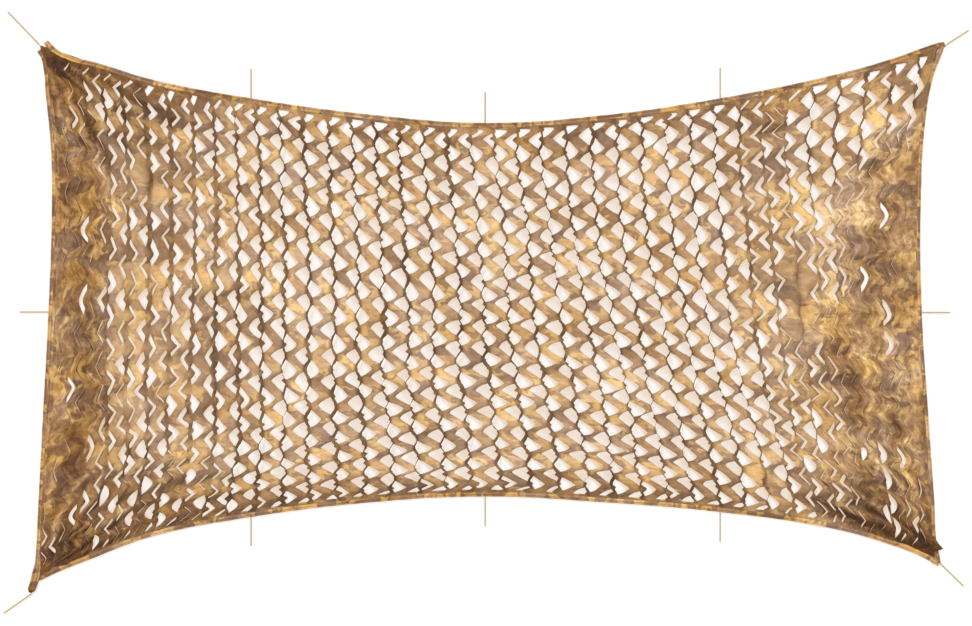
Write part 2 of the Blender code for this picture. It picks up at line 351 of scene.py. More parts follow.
def clothMaterial(name, layer, blotch, bold=0.0, cut=False):
    made, tree, shader = newMaterial(name, 0.8, 0.03)
    place = outputOf(tree, "ShaderNodeUVMap", {"uv_map": layer})
    paint = camoPaint(tree, place, blotch, bold)
    if cut:
        paint = litAndShadedLips(tree, place, paint)
    thin = attribute(tree, "thin")  # painted light through the cloth: one layer lets the light through, a bunched one doesn't, so the print of thin cloth is painted flatter and less saturated
    paint = mixColour(tree, paint, camo["middle"], thin * 0.22 + 0.08)
    shade = wearAndPaintedShade(tree, place)
    warmth = cloud(tree, place.vector("ADD", (3.0, 8.0, 0.0)), 4.2).ramp(0.38, 0.62, -1.0, 1.0)
    red, green, blue = shade * (1.0 + warmth * 0.035), shade ** 1.24, shade ** 1.55 * (1.0 - warmth * 0.12)
    shaded = mixColour(tree, paint, joined(tree, red, green, blue), 1.0, "MULTIPLY")
    value, saturation = blend(1.41, 1.34, thin), blend(1.03, 0.975, thin)
    tone = addNode(tree, "ShaderNodeHueSaturation", Color=shaded, Value=value, Saturation=saturation)
    tree.links.new(tone.outputs[0], shader.inputs["Base Color"])

    across, along = (side * printed["threads"] * math.tau for side in parted(tree, place)[:2])
    height = across.sine() * along.sine() * printed["thread depth"]
    height = height + cloud(tree, place, 24.0, 3.0) * printed["crease depth"]
    addBump(tree, shader, height, printed["bump"], printed["depth"])
    return made


def twineMaterial(name, look):
    made, tree, shader = newMaterial(name, look["roughness"], look["sheen"])
    place = outputOf(tree, "ShaderNodeTexCoord", take="Object")
    fibre = cloud(tree, place, look["fineness"], look["detail"])
    paint = mixColour(tree, look["dark"], look["light"], fibre.ramp(0.3, 0.7))
    tree.links.new(paint.socket, shader.inputs["Base Color"])
    relief = cloud(tree, place, look["relief"], look["detail"])
    addBump(tree, shader, relief, look["bump"], look["depth"])
    return made


netCloth = clothMaterial("printedNetCloth", "clothUv", 10.5, cut=True)
bindingCloth = clothMaterial("printedBinding", "stripUv", 9.5, bold=0.03)
print("materials made")


# Ties: three-strand ropes, straight from the binding to their free ends.
tie = {
    "Diameter": 0.006,
    "Lay": 0.021,  # length of one turn of the strands
    "height": 0.0031,
    "steps": 16,
}
tieLook = {
    "roughness": 0.8,
    "sheen": 0.2,
    "dark": colour(182, 146, 98),
    "light": colour(232, 202, 150),
    "fineness": 420.0,
    "detail": 3.0,
    "relief": 420.0,
    "bump": 0.5,
    "depth": 0.0004,
}
tieEnds = (  # name, where it leaves the binding, its free end
    ("tie_corner_top_left", (-1.985, 1.213), (-2.126, 1.360)),
    ("tie_corner_top_right", (2.032, 1.210), (2.138, 1.278)),
    ("tie_corner_bottom_left", (-2.0205, -1.222), (-2.144, -1.308)),
    ("tie_corner_bottom_right", (2.012, -1.088), (2.116, -1.189)),
    ("tie_top_left", (-1.047, 0.978), (-1.047, 1.107)),
    ("tie_top_middle", (-0.008, 0.8688), (-0.008, 1.005)),
    ("tie_top_right", (1.035, 0.978), (1.035, 1.111)),
    ("tie_bottom_left", (-1.047, -0.884), (-1.047, -1.011)),
    ("tie_bottom_middle", (-0.008, -0.7928), (-0.008, -0.922)),
    ("tie_bottom_right", (1.035, -0.862), (1.035, -0.993)),
    ("tie_left", (-1.9474, 0.028), (-2.073, 0.028)),
    ("tie_right", (1.9314, 0.026), (2.056, 0.026)),
)


def ropeTree():  # three strands laid round the curve
    tree, given = startTree("threeStrandRope", {"Diameter": tie["Diameter"], "Lay": tie["Lay"]})
    fine = outputOf(
        tree, "GeometryNodeResampleCurve", {"mode": "LENGTH"}, Curve=given["Geometry"], Length=0.0015
    )
    along = outputOf(tree, "GeometryNodeSplineParameter", take="Length")
    turned = outputOf(tree, "GeometryNodeSetCurveTilt", Curve=fine, Tilt=along / given["Lay"] * math.tau)
    ring = outputOf(
        tree, "GeometryNodeCurvePrimitiveCircle", Resolution=18, Radius=given["Diameter"] * 0.5
    )
    place = position(tree)
    x, y, _ = parted(tree, place)
    lobes = (y.maths("ARCTAN2", x) * 1.5).sine().size() * 0.26 + 0.76
    shaped = outputOf(tree, "GeometryNodeSetPosition", Geometry=ring, Position=place.scaled(lobes))
    tube = outputOf(tree, "GeometryNodeCurveToMesh", Curve=turned, Profile_Curve=shaped, Fill_Caps=True)
    return endTree(tree, tube, given["Material"])


rope = twineMaterial("tanRope", tieLook)
ropeNodes = ropeTree()
ropeSizes = {"Diameter": tie["Diameter"], "Lay": tie["Lay"], "Material": rope}
for name, start, end in tieEnds:
    line = curveThrough(name + "Line", [[(*start, tie["height"]), (*end, tie["height"])]], smooth=False)
    piece = runTree(ropeNodes, line, ropeSizes, name + "Rope")
    bpy.data.objects.remove(line)
    shares = (step / tie["steps"] for step in range(tie["steps"] + 1))
    route = [(*Vector(start).lerp(Vector(end), share), tie["height"]) for share in shares]
    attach(piece, "root")
    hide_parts(name)
print("ties laid:", len(tieEnds))


# Netting: one sheet with columns of staggered slits, pulled open between its four curved rims.
topRim = (
    (-1.983, 1.2115), (-1.704, 1.120), (-1.496, 1.056), (-1.047, 0.970), (-0.528, 0.899), (-0.008, 0.861),
    (0.511, 0.894), (1.035, 0.970), (1.523, 1.070), (1.796, 1.144), (2.005, 1.209),
)
bottomRim = (
    (-1.988, -1.148), (-1.753, -1.060), (-1.496, -0.965), (-1.047, -0.876), (-0.528, -0.812),
    (-0.008, -0.785), (0.511, -0.810), (1.035, -0.854), (1.523, -0.925), (1.768, -0.991), (1.987, -1.067),
)
leftRim = (
    (-1.988, -1.148), (-1.986, -0.851), (-1.963, -0.407), (-1.940, 0.028), (-1.925, 0.481),
    (-1.929, 0.747), (-1.952, 0.995), (-1.983, 1.2115),
)
rightRim = (
    (1.987, -1.067), (1.979, -0.807), (1.952, -0.416), (1.924, 0.028), (1.919, 0.503),
    (1.944, 0.916), (1.974, 1.070), (2.005, 1.209),
)

net = {
    "Periods": 38,  # pairs of a narrow and a wide band
    "Rows": 17,
    "Cells Across": 8,  # faces across one period
    "Cells Up": 16,  # faces up one row
    "Period Width": 0.089,  # before the cloth is pulled
    "Row Height": 0.138,
    "Slit Half": 0.4375,  # in rows
    "Shortening": 0.19,  # share by which an opened slit gets shorter
    "Sharp Tip": 1.12,  # in the zigzags of the half shut parts
    "Round Tip": 1.4,
    "Skew": 0.055,  # in rows, how far the tip of a tongue sits off its middle
    "Sway": 0.08,  # the narrow bands swing this far to each side
    "Uneven": 0.25,  # share by which the tongues' lengths differ
    "Gaping": 0.9,  # chance below which a slit stays like its neighbours
    "Ridge": 0.026,  # height of the bands that stand on edge
    "Lean": 0.067,  # share of the width that the most slanting column crosses
    "Crowding": 0.14,  # share by which the rows are closer below and wider apart above
    "Fold Height": 0.018,
    "Wrinkle": 0.005,
    "Tilt": 0.011,  # height between a shut band's two edges
    "Uneven Height": 0.005,
    "Lowest": 0.0008,
    "Highest": 0.0425,
}
netShade = {  # how much darker each of these is, or lighter where it says so; on edge, between folds, creases, corner valleys and wrinkles are painted shade
    "on edge": 0.47,
    "between folds": 0.3,
    "creases": 0.5,
    "corner valleys": 0.45,
    "wrinkles": 0.38,
    "unlike bands": 0.1,  # darker or lighter
    "right middle lighter": 0.32,
    "right top": 0.18,
    "long rims": 0.32,
    "bottom left": 0.18,
    "half open": 0.06,
    "right strip": 0.16,
    "bottom right corner": 0.3,
    "top left corner": 0.35,
}
lastColumn = 37
creaseRuns = (  # start and end, in periods and rows
    ((0.3, 16.8), (3.2, 12.6)),
    ((0.6, 16.9), (6.0, 15.6)),
    ((0.3, 0.4), (4.0, 3.2)),
    ((37.6, 0.5), (33.0, 3.6)),
    ((37.2, 0.3), (30.5, 1.4)),
)
uncutRuns = ((32, 7, 9), (5, 12, 12), (29, 1, 1))  # period, first and last row that no slit opens
tightSpots = ((0.7, 1.0), (2.2, 15.3), (36.9, 1.6))  # where the corners pull a few gaps open
foldCorners = ((0.0, 17.0), (0.0, 0.0), (38.0, 0.0))
metresPerPeriod, metresPerRow = 0.095, 0.13  # about, near the corners


def rimPoint(tree, rims, index, share):
    settings = {"mode": "FACTOR", "data_type": "FLOAT"}
    return outputOf(
        tree, "GeometryNodeSampleCurve", settings, "Position", Curves=rims, Factor=share, Curve_Index=index
    )


def stretchedPoint(tree, given, period, row):  # where a place on the cloth lies between its four pulled rims
    side = (period * 2.0 / given["Periods"] - 1.0).held(-1.0, 1.0)
    bulge = side * (5.0 - side * side * 2.0) * (1.0 - side * side).maths("SQRT")
    bulge = (bulge + side.maths("ARCSINE") * 3.0) / 8.0
    across = ((side + bulge * 0.25) / 1.147) * 0.5 + 0.5
    share = row / given["Rows"]
    bunch = ((period - 20.5) / 5.5) ** 2.0
    bunch = (1.0 - (bunch * -1.0).exponent()) * period.ramp(6.0, 28.0, -0.031, -0.017)
    up = share - given["Crowding"] * share * (1.0 - share) + bunch * (share * math.tau).sine()
    lean = ((across.held(0.0001, 1.0) ** 2.2) * math.pi).sine() * (0.5 - up)
    across = across + given["Lean"] * lean
    places = enumerate((across, across, up, up))
    bottom, top, left, right = (rimPoint(tree, given["Geometry"], index, place) for index, place in places)
    flatLow = blendPoints(joined(tree, *bottomRim[0]), joined(tree, *bottomRim[-1]), across)
    flatHigh = blendPoints(joined(tree, *topRim[0]), joined(tree, *topRim[-1]), across)
    both = blendPoints(bottom, top, up).vector("ADD", blendPoints(left, right, across))
    return both.vector("SUBTRACT", blendPoints(flatLow, flatHigh, up))


def pulledCorner(period, row):  # 1 in the top right corner, where the gaps are wide right up to the rims
    return period.ramp(31.6, 34.4) * (row - period.ramp(34.6, 36.6) * 1.3).ramp(11.8, 14.2)


def openness(tree, period, row):  # 0 where the slits stay shut, 1 where they are pulled wide
    inward = period + wobble(tree, period * 0.28, row * 0.28, 3.3) * 0.8
    opened = inward.ramp(1.6, 3.7, 0.03, 0.76) + inward.ramp(5.5, 12.0, 0.0, 0.24)
    later = inward - row.ramp(7.0, 10.0) * 0.8
    closing = inward.ramp(28.3, 32.2, 0.0, 0.36) + later.ramp(32.6, 34.6, 0.0, 0.62)
    lowLeft = inward.ramp(1.5, 4.5) * inward.ramp(11.0, 6.0) * 0.25
    lowRight = inward.ramp(29.0, 31.0) * inward.ramp(36.0, 33.5) * 0.06
    lower = row.ramp(4.6, 1.8) * (lowLeft + lowRight)
    rims = row.ramp(1.7, 0.5) + row.ramp(15.4, 16.6) * (1.0 - period.ramp(32.5, 35.0))
    tight = sum(((period - x) ** 2.0 * -0.9 + (row - y) ** 2.0 * -0.8).exponent() for x, y in tightSpots)
    corner = pulledCorner(period, row) * 0.85
    return (opened - closing + corner - lower + tight * 0.6 - rims * 0.13).held(0.0, 1.0)


def slitMask(column, gap, first):  # 1 where this slit is cut
    cut = gap.over(-1.5) * gap.under(16.5) * column.over(first - 0.5) * column.under(lastColumn + 0.5)
    for period, low, high in uncutRuns:
        shut = (column - period).size().under(0.5) * gap.over(low - 0.5) * gap.under(high + 0.5)
        cut = cut * (1.0 - shut)
    return cut


def tongue(distance, half, roundness, skew):  # 1 at the tip of a slit's tongue, 0 at the slit's ends
    off = distance + (1.0 - distance * distance * 4.0) * skew
    return 1.0 - (off.size() / half).held(0.0, 1.0) ** roundness


def shortening(distance, given, pulled):  # slides the lips of an open slit towards its middle
    slope = given["Shortening"] * pulled
    slide = (distance.size() * slope).least((0.5 - distance.size()) * slope * 7.0)
    return distance.maths("SIGN") * slide * -1.0


def cornerFolds(tree, cell, cornerPeriod, cornerRow):  # ridges that run out from a pulled corner, and the valleys between them for painted shade
    across = (cell.period - cornerPeriod) * metresPerPeriod
    up = (cell.row - cornerRow) * metresPerRow
    turn = up.maths("ARCTAN2", across)
    away = (across * across + up * up).maths("SQRT")
    swerve = wobble(tree, turn * 2.5, away * 2.2, 21.0 + cornerPeriod + cornerRow) * 2.6
    ridges = (turn * 27.0 + swerve).sine() * 0.5 + 0.5
    strength = away.ramp(0.0, 0.08) * away.ramp(0.95, 0.25)
    return ridges * strength, (1.0 - ridges) * strength


def crumple(tree, x, y, seed):  # sharp little creases: 1 on a crease, 0 away from it
    return (1.0 - wobble(tree, x, y, seed).size() * 3.2).held()


def crease(tree, cell, start, end):  # a fold that runs out from a corner, and the shadow along its inner side
    x, y = start[0] * metresPerPeriod, start[1] * metresPerRow
    run = Vector((end[0] * metresPerPeriod - x, end[1] * metresPerRow - y))
    reach = run.length
    run.normalize()
    across, up = cell.period * metresPerPeriod - x, cell.row * metresPerRow - y
    along = across * run.x + up * run.y
    drift = wobble(tree, cell.period * 0.7, cell.row * 0.7, 40.0 + start[1]) * 0.02
    off = across * -run.y + up * run.x + drift
    held = along.ramp(-0.02, 0.06) * along.ramp(reach * 1.15, reach * 0.7)
    return (off * off * -1200.0).exponent() * held, off.ramp(-0.02, 0.012) * off.ramp(0.10, 0.012) * held


def gridCell(tree, given):  # a place's period and row, and the gaps beside it
    cell = SimpleNamespace()
    x, y, _ = parted(tree, position(tree))
    cell.period, cell.row = x + given["Periods"] * 0.5, y + given["Rows"] * 0.5
    fromGapRight, fromGapLeft = cell.row - 0.25, cell.row - 0.75
    cell.gapRight, cell.fromRight = fromGapRight.floor(), fromGapRight.part() - 0.5  # right of narrow bands
    cell.gapLeft, cell.fromLeft = fromGapLeft.floor(), fromGapLeft.part() - 0.5
    cell.reach = given["Slit Half"] + 0.01
    cell.inCloth = cell.row.over(0.2) * cell.row.under(given["Rows"] - 0.2)
    cell.inRows = cell.row.least(given["Rows"] - cell.row)
    cell.inSides = cell.period.least(given["Periods"] - cell.period)
    cell.inside = cell.inRows.ramp(0.15, 0.9) * cell.inSides.ramp(0.1, 1.6)
    cell.pulled = openness(tree, cell.period, cell.row)
    cell.shut = 1.0 - cell.pulled
    return cell


def slitGrid(tree, given, cell):  # the flat grid with its slits cut, each face marked as wide or narrow band
    grid = outputOf(
        tree, "GeometryNodeMeshGrid", Size_X=given["Periods"], Size_Y=given["Rows"],
        Vertices_X=given["Periods"] * given["Cells Across"] + 1.0,
        Vertices_Y=given["Rows"] * given["Cells Up"] + 1.0,
    )
    banded = store(tree, grid, "wideBand", (cell.period - 0.25).part().under(0.5), domain="FACE")
    nearest = (cell.period + 0.5).floor()
    sides = ((0.25, cell.gapRight, cell.fromRight, 0), (0.75, cell.gapLeft, cell.fromLeft, 1))
    cuts = []
    for line, gap, distance, first in sides:
        cut = (cell.period.part() - line).size().under(0.01) * distance.size().under(cell.reach)
        cuts.append(cut * slitMask(nearest, gap, first) * cell.inCloth)
    return outputOf(tree, "GeometryNodeSplitEdges", Mesh=banded, Selection=cuts[0] + cuts[1])


def spreadBands(tree, given, cell):  # how far each place moves across when the slits open, in periods
    row, pulled, inSides = cell.row, cell.pulled, cell.inSides
    cell.wide = recall(tree, "wideBand").over(0.6)
    cell.column = (cell.period + 0.5 - cell.wide * 0.5).floor()  # the narrow band here, or left of here
    cell.nextColumn = cell.column + cell.wide
    local = cell.period - cell.column
    cell.narrowShare, cell.wideShare = local * 2.0 + 0.5, (local - 0.25) * 2.0

    swing = pulled.most(inSides.ramp(0.2, 1.3) * 0.42)  # the bands zigzag even where lobes fill the gaps
    narrow = 0.078 - pulled.ramp(0.8, 1.0) * 0.028 + (1.0 - swing / 0.6).held() ** 1.2 * 0.415
    pull = 0.5 - narrow + swing * 0.14
    skew = pulled.ramp(0.6, 1.0) * given["Skew"]
    unlike = 0.1 + pulled.ramp(0.0, 0.8) * 0.5 - pulled.ramp(0.85, 1.0) * 0.32
    follow = 1.05 - pulled ** 2.1 * 0.93

    # here and there a slit gapes where the rest stay shut, and more of them do towards the bottom corners
    tangled = row.ramp(6.5, 3.0) * inSides.ramp(1.2, 3.0) * inSides.ramp(13.0, 9.0)
    agape = tangled * (0.28 + cell.shut * 0.55) + inSides.ramp(12.0, 9.0) * 0.12
    agape = cell.inside * (cell.shut.ramp(0.2, 0.9) * 0.5).most(agape)
    likely = given["Gaping"] - tangled * 0.22

    gaps = (  # which column, which gap, distance from its middle, lean of its tip, first column, seed
        (cell.column, cell.gapRight, cell.fromRight, skew, 0, 0.0),
        (cell.nextColumn, cell.gapLeft, cell.fromLeft, skew * -1.0, 1, 1.0),
    )
    sides = []
    for column, gap, distance, lean, first, seed in gaps:
        side = SimpleNamespace(cut=slitMask(column, gap, first), luck=chance(tree, column, gap, 1.0 + seed))
        gape = chance(tree, column, gap, 5.0 + seed).over(likely) * agape
        rounded = blend(given["Sharp Tip"], given["Round Tip"], pulled.ramp(0.78, 1.0)) + gape * 0.9
        side.tip = tongue(distance, given["Slit Half"], rounded, lean) * side.cut
        side.flat = (follow + (chance(tree, column, gap, 3.0 + seed) - 0.5) * unlike).held()
        side.flat = (side.flat - gape).held()
        # a narrow band's leaf is shorter where it is less flat, so the gap beside it stays an even chevron
        side.leaf = tongue(distance, given["Slit Half"] * (side.flat * 0.9 + 0.1), rounded, lean) * side.cut
        side.pull = pull * (1.0 + (side.luck - 0.5) * given["Uneven"])
        side.slide = shortening(distance, given, pulled)
        sides.append(side)
    cell.right, cell.left = right, left = sides
    right.pull = right.pull * (1.0 - cell.column.over(lastColumn - 0.5) * 0.3)

    sway = ((row - 0.25) * math.tau).maths("COSINE") * given["Sway"] * pulled
    bowHere, bowNext = (
        sway + wobble(tree, column * 3.7, row * 1.1, 8.1) * 0.03 * pulled
        for column in (cell.column, cell.nextColumn)
    )
    ragged = wobble(tree, cell.column * 5.1, row * 5.5, 9.4) * 0.022 * pulled.ramp(0.1, 0.8)
    narrowLeft = narrow * -0.5 - left.flat * left.pull * left.leaf + bowHere - ragged * left.tip
    narrowRight = narrow * 0.5 + right.flat * right.pull * right.leaf + bowHere + ragged * right.tip
    wideLeft = narrow * 0.5 + right.pull * right.tip + bowHere
    wideRight = 1.0 - narrow * 0.5 - left.pull * left.tip + bowNext
    cell.narrowWidth = (narrowRight - narrowLeft) * given["Period Width"]
    cell.wideWidth = (wideRight - wideLeft) * given["Period Width"]
    narrowShift = blend(narrowLeft, narrowRight, cell.narrowShare)
    wideShift = blend(wideLeft, wideRight, cell.wideShare)
    cell.shift = blend(narrowShift, wideShift, cell.wide)
    narrowSlide = blend(left.slide, right.slide, cell.narrowShare)
    wideSlide = blend(right.slide, left.slide, cell.wideShare)
    cell.slide = blend(narrowSlide, wideSlide, cell.wide)


def bandHeights(tree, given, cell):  # ridges in the open middle, and folds and wrinkles at the shut sides
    period, row, shut, inside, wide = cell.period, cell.row, cell.shut, cell.inside, cell.wide
    right, left, wideShare, narrowShare = cell.right, cell.left, cell.wideShare, cell.narrowShare
    ridge = given["Ridge"] * cell.pulled.ramp(0.0, 0.9) * cell.inRows.ramp(0.3, 0.8)
    wideUp = blend(ridge * 0.8 * right.tip, ridge * (1.0 - left.tip), wideShare)
    wideUp = wideUp + wideShare * (1.0 - wideShare) * 0.012 * cell.pulled
    wideLift = right.tip * (1.0 - wideShare) * right.luck + left.tip * wideShare * left.luck
    narrowLift = right.leaf * narrowShare * (1.0 - right.luck)
    narrowLift = narrowLift + left.leaf * (1.0 - narrowShare) * (1.0 - left.luck)
    narrowUp = ridge * (1.0 - narrowShare) + narrowLift * shut * 0.01
    rise = blend(narrowUp, wideUp + wideLift * (shut * 0.01 + 0.001), wide)

    waves = (period * 3.1 + wobble(tree, period * 0.3, row * 0.28, 5.5) * 3.4).sine() * 0.5 + 0.5
    waves = waves * (0.6 + wobble(tree, period * 0.5, row * 0.35, 6.6, 2.0) * 0.4)
    fans = [cornerFolds(tree, cell, *corner) for corner in foldCorners]
    runs = [crease(tree, cell, start, end) for start, end in creaseRuns]
    radial, cell.valleys = (sum(each[side] for each in fans) for side in (0, 1))
    ridges, cell.shadows = (sum(each[side] for each in runs) for side in (0, 1))
    cell.bunched = (waves * shut.ramp(0.3, 0.95) + radial * 0.7 + ridges * 0.8).held() * inside
    folds = given["Fold Height"] * cell.bunched * blend(0.4, 1.0, shut.ramp(0.05, 0.5))
    wrinkled = crumple(tree, period * 1.5 + row * 0.5, row * 0.8 - period * 0.35, 51.0)
    wrinkled = wrinkled + crumple(tree, period * 2.1 - row * 0.8, row * 0.9, 52.0) * 0.7
    cell.wrinkled = wrinkled.held() * shut.ramp(0.25, 0.9) * inside
    folds = folds - cell.wrinkled * given["Wrinkle"]

    uneven = (wobble(tree, period * 1.3, row * 1.3, 7.7) * 0.5 + 0.5).held()
    uneven = uneven * given["Uneven Height"] * inside
    cell.strand = cell.column * 2.0 + wide
    fromMiddle = blend(narrowShare - 0.5, wideShare - 0.5, wide)
    tilt = wobble(tree, cell.strand * 3.1, row * 0.6, 32.0) * fromMiddle * given["Tilt"] * shut * inside
    height = rise * inside.ramp(0.0, 0.6) + folds + uneven + tilt + 0.0041
    return height.held(given["Lowest"], given["Highest"])


def bandShade(tree, cell):  # painted shade where the cloth stands on edge, in folds, creases and wrinkles, painted light and shade on the slanting arms, and darker towards the rims
    period, row, pulled, shut = cell.period, cell.row, cell.pulled, cell.shut
    onEdgeShade = (1.0 - cell.right.flat * cell.right.leaf) * (1.0 - cell.left.flat * cell.left.leaf)
    onEdgeShade = onEdgeShade * pulled.ramp(0.5, 1.0) * cell.inSides.ramp(0.2, 0.6)
    rising = ((row - 0.25) * math.tau).sine()  # 1 on the arms that run down to the right, -1 on the others
    # painted light and shade: arms that run down to the right lighter, the others darker
    armLightAndShade = (rising * 0.06 - 0.01) * pulled.ramp(0.2, 0.9)
    shade = 1.0 + blend(onEdgeShade * -netShade["on edge"], armLightAndShade, cell.wide)
    # painted shade between the folds of shut cloth and in its wrinkles; unlike bands are random tone
    shade = shade * (1.0 - (1.0 - cell.bunched) * shut.ramp(0.3, 0.9) * netShade["between folds"])
    unlike = wobble(tree, cell.strand * 7.3, row * 0.4, 31.0) * netShade["unlike bands"]
    shade = shade * (1.0 + unlike * shut.ramp(0.1, 0.8))
    shade = shade * (1.07 - cell.wrinkled * netShade["wrinkles"])
    lighter = row.ramp(1.5, 6.0) * netShade["right middle lighter"]
    lighter = lighter - row.ramp(11.5, 13.5) * netShade["right top"]
    shade = shade * (1.0 + period.ramp(31.5, 36.0) * lighter)
    # painted shadow along the creases and painted shade in the corner valleys; the rest is darker by place
    darker = (
        ("creases", cell.shadows.held()),
        ("corner valleys", cell.valleys.held()),
        ("long rims", cell.inRows.ramp(2.3, 0.4)),
        ("bottom left", row.ramp(4.6, 1.8) * period.ramp(14.0, 10.0)),
        ("half open", pulled.ramp(0.2, 0.6) * pulled.ramp(1.0, 0.85)),
        ("right strip", period.ramp(36.9, 37.8)),
        ("bottom right corner", period.ramp(35.8, 37.6) * row.ramp(2.0, 0.2)),
        ("top left corner", period.ramp(2.0, 0.4) * row.ramp(15.4, 16.8)),
    )
    for name, where in darker:
        shade = shade * (1.0 - where * netShade[name])
    return shade


def lipDistance(cell):  # distance to the nearest slit's lip, in metres
    offRight = (1.0 - cell.fromRight.size().under(cell.reach) * cell.right.cut * cell.inCloth) * 0.03
    offLeft = (1.0 - cell.fromLeft.size().under(cell.reach) * cell.left.cut * cell.inCloth) * 0.03
    wide = cell.wideShare * cell.wideWidth + offRight
    wide = wide.least((1.0 - cell.wideShare) * cell.wideWidth + offLeft)
    narrow = cell.narrowShare * cell.narrowWidth + offLeft
    narrow = narrow.least((1.0 - cell.narrowShare) * cell.narrowWidth + offRight)
    return blend(narrow, wide, cell.wide)


def stray(tree, cell, fineness, near, far, seed):  # how far a place strays from its even column or row
    small = wobble(tree, cell.period * fineness, cell.row * fineness, seed) * near
    return (small + wobble(tree, cell.period * 0.2, cell.row * 0.2, seed + 1.0) * far) * cell.inside


def placedPoint(tree, given, cell, height):
    period, row = cell.period, cell.row
    leaning = period.ramp(0.8, 3.0) * period.ramp(12.0, 8.0)
    leaning = leaning - period.ramp(28.0, 32.0) * period.ramp(37.2, 35.0)
    slant = (row - 2.5) * row.ramp(6.5, 3.0) * 0.2 * leaning
    around = period + stray(tree, cell, 0.8, 0.09, 0.2, 11.1) + slant
    along = row + stray(tree, cell, 1.1, 0.11, 0.15, 13.1)
    corner = pulledCorner(period, row) * period.ramp(32.0, 37.0) * period.ramp(38.0, 37.2) * 0.3
    across = around - period + cell.column + cell.shift + corner
    flat = stretchedPoint(tree, given, across, along + cell.slide)
    flap = blend((row - 0.3) / 0.12, 1.0 - (row - 0.42) / 0.62, row.over(0.42)).held() ** 1.6
    flap = flap * period.ramp(36.6, 38.0)  # a loose point of cloth beyond the right binding
    return flat.vector("ADD", joined(tree, flap * 0.040, 0.0, height + flap.ramp(0.0, 0.3) * 0.008))


def nettingTree():
    tree, given = startTree("leafCutNetting", net)
    cell = gridCell(tree, given)
    cloth = slitGrid(tree, given, cell)
    spreadBands(tree, given, cell)
    placed = placedPoint(tree, given, cell, bandHeights(tree, given, cell))
    right, left = cell.right, cell.left
    narrowOver = 1.0 - blend(left.luck, right.luck, cell.narrowShare)
    wideOver = blend(right.luck, left.luck, cell.wideShare)
    lowEdge = blend(cell.fromRight, cell.fromLeft, cell.wideShare).ramp(0.08, -0.12)
    layers = {
        "shade": bandShade(tree, cell),
        # thin: a single pulled layer, for the light painted through the cloth; the right side counts as
        # partly thin
        "thin": cell.pulled.ramp(0.0, 0.85).most(cell.period.ramp(33.0, 35.0) * 0.55),
        "lip": lipDistance(cell),
        "slack": cell.shut,
        "over": blend(narrowOver, wideOver, cell.wide),
        "under": lowEdge * cell.wide + (1.0 - cell.wide) * 0.5,
    }
    for name, value in layers.items():
        cloth = store(tree, cloth, name, value)
    uv = joined(tree, cell.period * given["Period Width"], cell.row * given["Row Height"])
    cloth = store(tree, cloth, "clothUv", uv, "FLOAT2", "CORNER")
    cloth = outputOf(tree, "GeometryNodeSetPosition", Geometry=cloth, Position=placed)
    cloth = outputOf(tree, "GeometryNodeSetShadeSmooth", Geometry=cloth)
    return endTree(tree, cloth, given["Material"])


rims = curveThrough("netRims", [bottomRim, topRim, leftRim, rightRim])
netting = runTree(nettingTree(), rims, {**net, "Material": netCloth}, "leafCutNet")
bpy.data.objects.remove(rims)
netting.data.attributes.remove(netting.data.attributes["wideBand"])
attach(netting, "root")
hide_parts("net")
print("netting made:", len(netting.data.polygons), "faces")


# Bindings: strips of the same cloth folded over the rims, and the stitches that hold them.
strip = {
    "Half Width": 0.014,  # where a strip doesn't have its own, below
    "Thickness": 0.0062,
    "Taper": 0.03,  # length over which an end narrows
    "Narrow End": 0.78,
    "Rolled End": 0.0,  # length of the end that is rolled up into a tube
}
stripInset = 0.006  # from the strip's outer edge in to the edge of the cloth
stripShade = 0.90
stitch = {
    "Pitch": 0.009,
    "Stitch Length": 0.0054,
    "Thread": 0.0011,
    "From Middle": 0.0072,  # towards the net
}
threadLook = {
    "roughness": 0.6,
    "sheen": 0.3,
    "dark": colour(150, 118, 80),
    "light": colour(196, 160, 110),
    "fineness": 900.0,
    "detail": 2.0,
    "relief": 2500.0,
    "bump": 0.4,
    "depth": 0.0002,
}
bindings = (  # round the net, outer side on the right; first and last points, half width, rolled end
    (
        "binding_bottom", bottomRim, ((-2.000, -1.158), (-1.960, -1.136)),
        ((1.958, -1.056), (2.008, -1.0905)), 0.015, 0.0,
    ),
    (
        "binding_right", rightRim, ((2.004, -1.082), (1.985, -1.000)),
        ((1.985, 1.120), (2.021, 1.206)), 0.0115, 0.0,
    ),
    (
        "binding_top", topRim[::-1], ((2.0315, 1.2155), (1.960, 1.193)),
        ((-1.885, 1.163), (-1.926, 1.188), (-1.957, 1.226)), 0.015, 0.0,
    ),
    (
        "binding_left", leftRim[::-1], ((-1.9885, 1.188), (-1.967, 1.158)),
        ((-1.991, -1.050), (-2.000, -1.140), (-2.024, -1.2165)), 0.0115, 0.12,
    ),
)


def railBeside(rim, first, last, half):  # middle line of a strip folded over the rim
    line = []
    for index in range(1, len(rim) - 1):
        along = Vector(rim[index + 1]) - Vector(rim[index - 1])
        out = Vector((along.y, -along.x)).normalized()
        line.append(tuple(Vector(rim[index]) - out * (half - stripInset)))
    return [*first, *line, *last]


def stripProfile(tree):  # flat below, pleated above, and thinner on the side towards the net
    ring = outputOf(tree, "GeometryNodeCurvePrimitiveCircle", Resolution=26, Radius=1.0)
    out, down, _ = parted(tree, position(tree))
    up = down * -1.0
    flatOut = out.maths("SIGN") * out.size() ** 0.75
    flatUp = up.maths("SIGN") * up.size() ** 0.55
    thin = 0.5 + (out + 1.0) * 0.25
    pleat = (flatOut * 7.5).maths("COSINE") * 0.11 * up.over(0.2)
    place = joined(tree, flatOut, (flatUp + 1.0 + pleat) * thin * -0.5)
    ring = store(tree, ring, "out", flatOut)
    return outputOf(tree, "GeometryNodeSetPosition", Geometry=ring, Position=place)


